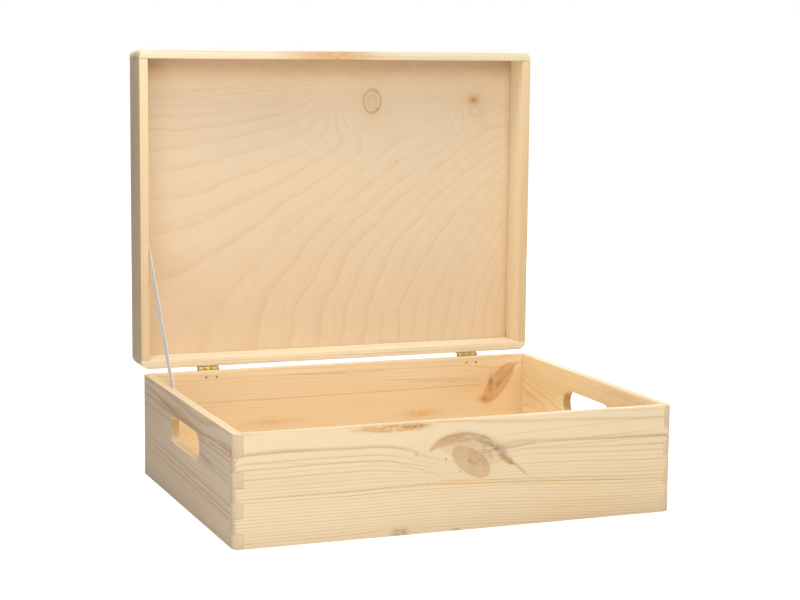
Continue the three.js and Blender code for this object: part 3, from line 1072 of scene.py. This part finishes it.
def new_group(name):
    """A geometry node group that takes in a mesh and gives one back, with its two end nodes."""
    group = bpy.data.node_groups.new(name, "GeometryNodeTree")
    group.interface.new_socket("Geometry", in_out="INPUT", socket_type="NodeSocketGeometry")
    group.interface.new_socket("Geometry", in_out="OUTPUT", socket_type="NodeSocketGeometry")
    return group, group.nodes.new("NodeGroupInput"), group.nodes.new("NodeGroupOutput")


def joined_group():
    """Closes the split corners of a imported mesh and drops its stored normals."""
    group, start, end = new_group("toybox_close_corners")
    drop = group.nodes.new("GeometryNodeRemoveAttribute")
    drop.inputs["Name"].default_value = "custom_normal"
    merge = group.nodes.new("GeometryNodeMergeByDistance")
    merge.inputs["Distance"].default_value = CORNER_GAP
    group.links.new(start.outputs[0], drop.inputs[0])
    group.links.new(drop.outputs[0], merge.inputs[0])
    group.links.new(merge.outputs[0], end.inputs[0])
    return group


def smooth_group():
    """Shades smooth everywhere but at edges sharper than SMOOTH_ANGLE."""
    group, start, end = new_group("toybox_smooth")
    faces = group.nodes.new("GeometryNodeSetShadeSmooth")
    faces.domain = "FACE"
    edges = group.nodes.new("GeometryNodeSetShadeSmooth")
    edges.domain = "EDGE"
    edges.inputs["Shade Smooth"].default_value = False
    edge_angle = group.nodes.new("GeometryNodeInputMeshEdgeAngle")
    sharper = group.nodes.new("FunctionNodeCompare")
    sharper.operation = "GREATER_THAN"
    sharper.inputs[1].default_value = SMOOTH_ANGLE
    group.links.new(edge_angle.outputs["Unsigned Angle"], sharper.inputs[0])
    group.links.new(sharper.outputs[0], edges.inputs["Selection"])
    group.links.new(start.outputs[0], faces.inputs["Geometry"])
    group.links.new(faces.outputs[0], edges.inputs["Geometry"])
    group.links.new(edges.outputs[0], end.inputs[0])
    return group


def shade_smooth(piece):
    """Adds the smooth shading, from a node group that is made once."""
    smooth = piece.modifiers.new("smooth_curves", "NODES")
    smooth.node_group = bpy.data.node_groups.get("toybox_smooth") or smooth_group()


def soften(piece, width, segments=2):
    """Rounds a piece's sharp edges a little and shades its curves smooth."""
    close = piece.modifiers.new("close_corners", "NODES")
    close.node_group = bpy.data.node_groups.get("toybox_close_corners") or joined_group()
    bevel = piece.modifiers.new("soft_edges", "BEVEL")
    bevel.width = width
    bevel.segments = segments
    bevel.limit_method = "ANGLE"
    bevel.angle_limit = BEVEL_ANGLE
    bevel.use_clamp_overlap = False
    shade_smooth(piece)


def paint(piece, material):
    """Gives a piece one material."""
    if piece.material_slots:
        piece.material_slots[0].material = material
    else:
        piece.data.materials.append(material)


def new_object(name, data):
    """A new object in the scene."""
    made = bpy.data.objects.new(name, data)
    bpy.context.scene.collection.objects.link(made)
    return made


def new_piece(name, mesh, material):
    """A mesh as a new piece with its finish."""
    piece = new_object(name, mesh)
    paint(piece, material)
    return piece


def mesh_from(name, points, faces):
    """A smooth-shaded mesh."""
    mesh = bpy.data.meshes.new(name)
    mesh.from_pydata([tuple(p) for p in points], [], faces)
    mesh.validate()
    mesh.polygons.foreach_set("use_smooth", [True] * len(mesh.polygons))
    mesh.update()
    return mesh


def band_faces(rings, sides, first=0):
    """Four-sided faces from each closed ring of points to the next."""
    found = []
    for ring in range(rings - 1):
        a = first + ring * sides
        b = a + sides
        for k in range(sides):
            n = (k + 1) % sides
            found.append((a + k, a + n, b + n, b + k))
    return found


def face_outward(mesh, weld=0.0):
    """Turns every face outward, once points closer than weld are joined."""
    work = bmesh.new()
    work.from_mesh(mesh)
    if weld:
        bmesh.ops.remove_doubles(work, verts=work.verts, dist=weld)
    bmesh.ops.recalc_face_normals(work, faces=work.faces)
    work.to_mesh(mesh)
    work.free()


SCREW_SIDES = 48
SCREW_WELD = 0.001 * MM
HEAD_RADIUS = 3.0 * MM
HEAD_HEIGHT = 1.4 * MM
HEAD_CHAMFER = 0.1 * MM
HEAD_EDGE = 0.35 * MM
HEAD_RINGS = 22
CROSS_HALF_LENGTH = 1.75 * MM
CROSS_HALF_WIDTH = 0.42 * MM
SHANK_RADIUS = 1.2 * MM
POINT_LENGTH = 1.6 * MM
BLUNT_LENGTH = 0.3 * MM
BLUNT_RADIUS = 0.25 * MM
DOME_BULGE = 0.96
RECESS_SLOPE = 0.35


def cross_depth(y, z, depth):
    """How deep the cross recess is at a place on a screw head."""
    reach = max(abs(y), abs(z))
    side = min(abs(y), abs(z))
    in_arm = side < CROSS_HALF_WIDTH and reach < CROSS_HALF_LENGTH
    return depth * (1.0 - RECESS_SLOPE * reach / CROSS_HALF_LENGTH) if in_arm else 0.0


def screw_profile(tip_x, top_x, dome):
    """Places along the screw and the radius at each: the point, the shank and the domed head."""
    under = top_x - HEAD_HEIGHT
    profile = [(tip_x, 0.0), (tip_x + BLUNT_LENGTH, BLUNT_RADIUS), (tip_x + POINT_LENGTH, SHANK_RADIUS)]
    profile += [(under, SHANK_RADIUS), (under, HEAD_RADIUS - HEAD_CHAMFER)]
    profile += [(under + HEAD_CHAMFER, HEAD_RADIUS), (under + HEAD_EDGE, HEAD_RADIUS)]
    rim_drop = 1.0 - math.sqrt(1.0 - DOME_BULGE)
    for k in range(1, HEAD_RINGS):
        share = 1.0 - k / HEAD_RINGS
        drop = (1.0 - math.sqrt(1.0 - DOME_BULGE * share * share)) / rim_drop
        profile.append((top_x - dome * drop, HEAD_RADIUS * share))
    return profile


def screw_mesh(name, low, high, recess):
    """A round-headed wood screw along X, from the frame's own box for it: shank, point, head and recess."""
    centre_y, centre_z = (low.y + high.y) / 2, (low.z + high.z) / 2
    dome = HEAD_HEIGHT - HEAD_EDGE
    profile = screw_profile(low.x, high.x, dome)
    points = []
    for x, radius in profile:
        for k in range(SCREW_SIDES):
            angle = math.tau * k / SCREW_SIDES
            y, z = radius * math.cos(angle), radius * math.sin(angle)
            on_dome = x > high.x - dome
            points.append((x - (cross_depth(y, z, recess) if on_dome else 0.0), centre_y + y, centre_z + z))
    faces = band_faces(len(profile), SCREW_SIDES)
    points.append((high.x - recess, centre_y, centre_z))
    tip = len(points) - 1
    last = (len(profile) - 1) * SCREW_SIDES
    faces += [(last + k, last + (k + 1) % SCREW_SIDES, tip) for k in range(SCREW_SIDES)]
    mesh = mesh_from(name, points, faces)
    face_outward(mesh, SCREW_WELD)
    return mesh


STAY_WIDTH = 12.0 * MM
STAY_HALF_THICKNESS = 0.28 * MM
STAY_EDGE_HALF_THICKNESS = 0.36 * MM
STAY_TAIL = 6.0 * MM
STAY_STEPS = 150
STAY_LANES = 14
EDGE_BAND_START = 0.78
EDGE_THINNING = 0.45
SCALLOP_DEPTH = 0.06 * MM
SCALLOP_PITCH = 1.4 * MM


def stay_fixings():
    """The middles of the two screws that hold the stay, in the plane of the ribbon."""
    found = []
    for name in STAY_SCREWS:
        low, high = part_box(name)
        found.append(Vector((0.0, (low.y + high.y) / 2, (low.z + high.z) / 2)))
    return found


def stay_section(v):
    """The points of one cut across the ribbon, v along it: places across, flat and scalloped, and through."""
    found = []
    for side in (1, -1):
        for j in range(STAY_LANES + 1):
            lane = j if side == 1 else STAY_LANES - j
            at_edge = lane in (0, STAY_LANES)
            u = STAY_WIDTH * (lane / STAY_LANES - 0.5)
            band = max(0.0, (abs(u) / (STAY_WIDTH / 2) - EDGE_BAND_START) / (1.0 - EDGE_BAND_START))
            extra = (STAY_EDGE_HALF_THICKNESS - STAY_HALF_THICKNESS) * math.sin(math.pi * band)
            half = (STAY_HALF_THICKNESS + extra) * (EDGE_THINNING if at_edge else 1.0)
            scallop = SCALLOP_DEPTH * abs(math.sin(math.tau * v / SCALLOP_PITCH)) if at_edge else 0.0
            found.append((u, u - math.copysign(scallop, u), side * half))
    return found


def stay_mesh(name):
    """A flat woven tape from screw to screw, with a firm edge down each side and a tail past each screw."""
    low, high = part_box(STAY_NODE)
    middle_x = (low.x + high.x) / 2
    lower, upper = stay_fixings()
    along = (upper - lower).normalized()
    across = Vector((0.0, -along.z, along.y))
    start = lower - along * STAY_TAIL
    length = (upper - lower).length + 2 * STAY_TAIL
    columns = 2 * (STAY_LANES + 1)
    points, places = [], []
    for i in range(STAY_STEPS + 1):
        v = length * i / STAY_STEPS
        for u, edge_u, out in stay_section(v):
            points.append(Vector((middle_x + out, 0.0, 0.0)) + start + along * v + across * edge_u)
            places.append((u, v))
    faces = band_faces(STAY_STEPS + 1, columns)
    faces.append(tuple(range(columns)))
    faces.append(tuple(reversed(range(STAY_STEPS * columns, (STAY_STEPS + 1) * columns))))
    mesh = mesh_from(name, points, faces)
    layer = mesh.uv_layers.new(name=RIBBON_UV)
    for loop in mesh.loops:
        layer.data[loop.index].uv = places[loop.vertex_index]
    face_outward(mesh)
    return mesh


# ------------------------ studio


FLOOR_RADIUS = 40.0
FLOOR_RINGS = 24
FLOOR_SIDES = 96
FLOOR_GLOW_NEAR = 0.62
FLOOR_GLOW_FAR = 0.85
FLOOR_GLOW_REACH = (0.5, 2.4)
DIM_SIDE = 0.33
DIM_REACH = (-0.75, 0.1)
DIM_TINT = (0.78, 0.82, 1.0)
BRIGHT_TINT = (0.95, 0.98, 1.0)
MIDDLE = (0.0, 0.05, 0.12)
SENSOR_WIDTH_MM = 36.0
NEAREST = 0.05
FARTHEST = 200.0


@dataclass(frozen=True)
class Lamp:
    """A soft light: its place, target and size in metres, its colour, and the setting with its power."""

    name: str
    place: tuple
    target: tuple
    size: tuple
    colour: tuple
    power: str


LAMPS = (
    Lamp("key_light", (-0.1, -2.3, 1.5), MIDDLE, (1.6, 1.2), (1.0, 0.99, 0.97), "key_power"),
    Lamp("top_light", (0.1, -0.2, 2.3), MIDDLE, (2.0, 1.8), (1.0, 0.99, 0.97), "top_power"),
    Lamp("side_light", (-0.95, -0.95, 0.22), (0.0, -0.05, 0.08), (0.7, 0.4), (1.0, 0.96, 0.94), "side_power"),
    Lamp("inner_light", (-0.22, 0.08, 0.85), (0.19, 0, 0.06), (0.25, 0.25), (1.0, 0.97, 0.92), "inner_power"),
    Lamp("back_light", (1.3, 1.3, 0.40), MIDDLE, (1.2, 0.6), (1.0, 0.98, 0.95), "back_power"),
)


def floor_mesh():
    """A wide round floor with its rings closer together under the box."""
    points = [(0.0, 0.0, 0.0)]
    for ring in range(1, FLOOR_RINGS + 1):
        radius = FLOOR_RADIUS * (ring / FLOOR_RINGS) ** 3
        for k in range(FLOOR_SIDES):
            angle = math.tau * k / FLOOR_SIDES
            points.append((radius * math.cos(angle), radius * math.sin(angle), 0.0))
    faces = [(0, 1 + k, 1 + (k + 1) % FLOOR_SIDES) for k in range(FLOOR_SIDES)]
    faces += [face[::-1] for face in band_faces(FLOOR_RINGS, FLOOR_SIDES, first=1)]
    return mesh_from("studio_floor", points, faces)


def floor_finish(colour):
    """A smooth pale floor that is seen near white and sends only its own diffuse light to the box."""
    finish = Finish(bpy.data.materials.new("studio_floor"))
    place = finish.add("ShaderNodeTexCoord", None, None, "Object")
    specks = finish.noise(place, 40.0, 3.0)
    shade = finish.mix(0.03 + 0.04 * specks, colour, scaled(colour, 0.8))
    seen = finish.add("ShaderNodeLightPath", None, None, "Is Camera Ray")
    away = place.length().rise(*FLOOR_GLOW_REACH)
    glow = seen * (FLOOR_GLOW_NEAR + (FLOOR_GLOW_FAR - FLOOR_GLOW_NEAR) * away)
    return finish.surface(
        {"Base Color": shade, "Emission Color": finish.vector(glow, glow, glow)},
        {"Roughness": 0.9, "Specular IOR Level": 0.1, "Emission Strength": 1.0},
    )


def soft_light(lamp, power):
    """A square soft light that faces its target."""
    data = bpy.data.lights.new(lamp.name, "AREA")
    data.shape = "RECTANGLE"
    data.size, data.size_y = lamp.size
    data.energy = power
    data.color = lamp.colour
    light = new_object(lamp.name, data)
    light.location = lamp.place
    light.visible_camera = False
    light.rotation_euler = (Vector(lamp.target) - Vector(lamp.place)).to_track_quat("-Z", "Y").to_euler()


def room(strength):
    """White all round to the eye. As a light it has its full strength at the right and less at the left."""
    world = bpy.data.worlds.new("studio_room")
    bpy.context.scene.world = world
    sky = Finish(world)
    across = sky.split(sky.add("ShaderNodeTexCoord", None, None, "Generated"))[X]
    share = DIM_SIDE + (1.0 - DIM_SIDE) * across.rise(*DIM_REACH)
    tint = sky.mix(share, DIM_TINT, BRIGHT_TINT)
    lit = sky.add("ShaderNodeBackground", None, {"Color": tint, "Strength": strength * share})
    seen = sky.add("ShaderNodeBackground", None, {"Color": (1.0, 1.0, 1.0, 1.0), "Strength": 1.0})
    is_seen = sky.add("ShaderNodeLightPath", None, None, "Is Camera Ray")
    chosen = sky.add("ShaderNodeMixShader", None, {0: is_seen, 1: lit, 2: seen})
    sky.add("ShaderNodeOutputWorld", None, {"Surface": chosen})


def camera(studio):
    """The camera, turned by azimuth, elevation and roll."""
    azimuth, elevation, roll = studio.camera_azimuth, studio.camera_elevation, studio.camera_roll
    level = math.cos(elevation)
    back = Vector((math.sin(azimuth) * level, -math.cos(azimuth) * level, math.sin(elevation)))
    right = (-back).cross(Vector((0.0, 0.0, 1.0))).normalized()
    up = back.cross(right)
    tilted_right = right * math.cos(roll) + up * math.sin(roll)
    tilted_up = up * math.cos(roll) - right * math.sin(roll)
    turn = Matrix((tilted_right, tilted_up, back)).transposed()
    data = bpy.data.cameras.new("camera")
    data.lens = studio.lens
    data.sensor_width = SENSOR_WIDTH_MM
    data.clip_start = NEAREST
    data.clip_end = FARTHEST
    holder = new_object("camera", data)
    holder.matrix_world = Matrix.Translation(Vector(studio.camera_place)) @ turn.to_4x4()
    bpy.context.scene.camera = holder


# ------------------------ operators


def need(nodes):
    """Stops with a plain message if the frame lacks a node."""
    missing = sorted(set(nodes) - set(NODES))
    if missing:
        raise RuntimeError(f"the frame has no node named {missing}")


def finish_in_pine(names, wood):
    """Gives boards their own pine and soft edges."""
    need(names)
    for name in names:
        paint(NODES[name], pine(f"{name}_pine", TIMBERS[name], wood))
        soften(NODES[name], wood.edge_softening)


class TOYBOX_OT_boards(bpy.types.Operator):
    """Finish the four boards of the box in pine, each cut from its own part of the tree"""

    bl_idname = "toybox.boards"
    bl_label = "Box boards"

    def execute(self, context):
        finish_in_pine(BODY_BOARDS, context.scene.toybox_wood)
        return {"FINISHED"}


class TOYBOX_OT_rails(bpy.types.Operator):
    """Finish the four rails of the lid in pine"""

    bl_idname = "toybox.rails"
    bl_label = "Lid rails"

    def execute(self, context):
        finish_in_pine(LID_RAILS, context.scene.toybox_wood)
        return {"FINISHED"}


class TOYBOX_OT_panels(bpy.types.Operator):
    """Finish the bottom and the lid panel in plywood"""

    bl_idname = "toybox.panels"
    bl_label = "Panels"

    def execute(self, context):
        need(PANELS)
        wood = context.scene.toybox_wood
        paint(NODES["bottom_panel"], plywood("bottom_plywood", wood, (X, Y, Z), False))
        paint(NODES["lid_panel"], plywood("lid_plywood", wood, (X, Z, Y), True))
        for name in PANELS:
            soften(NODES[name], wood.edge_softening)
        return {"FINISHED"}


class TOYBOX_OT_hinges(bpy.types.Operator):
    """Finish the hinge leaves, pins and nails in worn brass plating"""

    bl_idname = "toybox.hinges"
    bl_label = "Hinges"

    def execute(self, context):
        need(HINGE_PARTS)
        fittings = context.scene.toybox_fittings
        dull = scaled(fittings.brass, 0.45)
        plate = plated_metal("hinge_brass", fittings.brass, dull, LEAF_ROUGHNESS, X)
        nail = plated_metal("nail_brass", scaled(fittings.brass, 1.5), fittings.brass, NAIL_ROUGHNESS, Y)
        for name in HINGE_PARTS:
            paint(NODES[name], nail if "_nail_" in name else plate)
            soften(NODES[name], fittings.metal_softening)
        return {"FINISHED"}


class TOYBOX_OT_screws(bpy.types.Operator):
    """Build the two round-headed screws that hold the stay"""

    bl_idname = "toybox.screws"
    bl_label = "Stay screws"

    def execute(self, context):
        need(STAY_SCREWS)
        fittings = context.scene.toybox_fittings
        steel = plated_metal("screw_steel", fittings.steel, scaled(fittings.steel, 0.5), SCREW_ROUGHNESS, Y)
        for node, body in STAY_SCREWS.items():
            low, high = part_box(node)
            name = f"{node}_round_head"
            screw = new_piece(name, screw_mesh(name, low, high, fittings.recess_depth), steel)
            shade_smooth(screw)
            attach(screw, body)
            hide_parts(node)
        return {"FINISHED"}


class TOYBOX_OT_stay(bpy.types.Operator):
    """Weave the ribbon that stops the lid upright"""

    bl_idname = "toybox.stay"
    bl_label = "Ribbon stay"

    def execute(self, context):
        need((STAY_NODE,))
        cloth = woven_ribbon("stay_ribbon", context.scene.toybox_fittings.ribbon)
        ribbon = new_piece("lid_stay_ribbon", stay_mesh("lid_stay_ribbon"), cloth)
        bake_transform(ribbon)
        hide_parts(STAY_NODE)
        return {"FINISHED"}


class TOYBOX_OT_stage(bpy.types.Operator):
    """Set the pale floor, the soft lights and the camera"""

    bl_idname = "toybox.stage"
    bl_label = "Studio"

    def execute(self, context):
        studio = context.scene.toybox_studio
        context.scene.view_settings.view_transform = "Standard"
        floor = new_object("studio_floor", floor_mesh())
        paint(floor, floor_finish(tuple(studio.floor_colour)))
        for lamp in LAMPS:
            soft_light(lamp, getattr(studio, lamp.power))
        room(studio.room_light)
        camera(studio)
        return {"FINISHED"}


STEPS = (
    TOYBOX_OT_stage,
    TOYBOX_OT_boards,
    TOYBOX_OT_rails,
    TOYBOX_OT_panels,
    TOYBOX_OT_hinges,
    TOYBOX_OT_screws,
    TOYBOX_OT_stay,
)


class TOYBOX_PT_panel(bpy.types.Panel):
    """The steps that finish the toy box, with its sizes and colours"""

    bl_label = "Pine Toy Box"
    bl_idname = "TOYBOX_PT_panel"
    bl_space_type = "VIEW_3D"
    bl_region_type = "UI"
    bl_category = "Toy Box"

    def draw(self, context):
        layout = self.layout
        for step in STEPS:
            layout.operator(step.bl_idname)
        for group in (context.scene.toybox_wood, context.scene.toybox_fittings, context.scene.toybox_studio):
            box = layout.box()
            for name in group.bl_rna.properties.keys():
                if name not in ("rna_type", "name"):
                    box.prop(group, name)


GROUPS = (TOYBOX_PG_wood, TOYBOX_PG_fittings, TOYBOX_PG_studio)
CLASSES = (*GROUPS, *STEPS, TOYBOX_PT_panel)


def register():
    """Adds the classes and the three groups of settings."""
    for cls in CLASSES:
        bpy.utils.register_class(cls)
    bpy.types.Scene.toybox_wood = bpy.props.PointerProperty(type=TOYBOX_PG_wood)
    bpy.types.Scene.toybox_fittings = bpy.props.PointerProperty(type=TOYBOX_PG_fittings)
    bpy.types.Scene.toybox_studio = bpy.props.PointerProperty(type=TOYBOX_PG_studio)


def unregister():
    """Takes away what register added."""
    del bpy.types.Scene.toybox_studio
    del bpy.types.Scene.toybox_fittings
    del bpy.types.Scene.toybox_wood
    for cls in reversed(CLASSES):
        bpy.utils.unregister_class(cls)


def main():
    """Builds everything in order."""
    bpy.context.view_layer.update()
    register()
    bpy.ops.toybox.stage()
    bpy.ops.toybox.boards()
    bpy.ops.toybox.rails()
    bpy.ops.toybox.panels()
    bpy.ops.toybox.hinges()
    bpy.ops.toybox.screws()
    bpy.ops.toybox.stay()


if __name__ == "__main__":
    main()
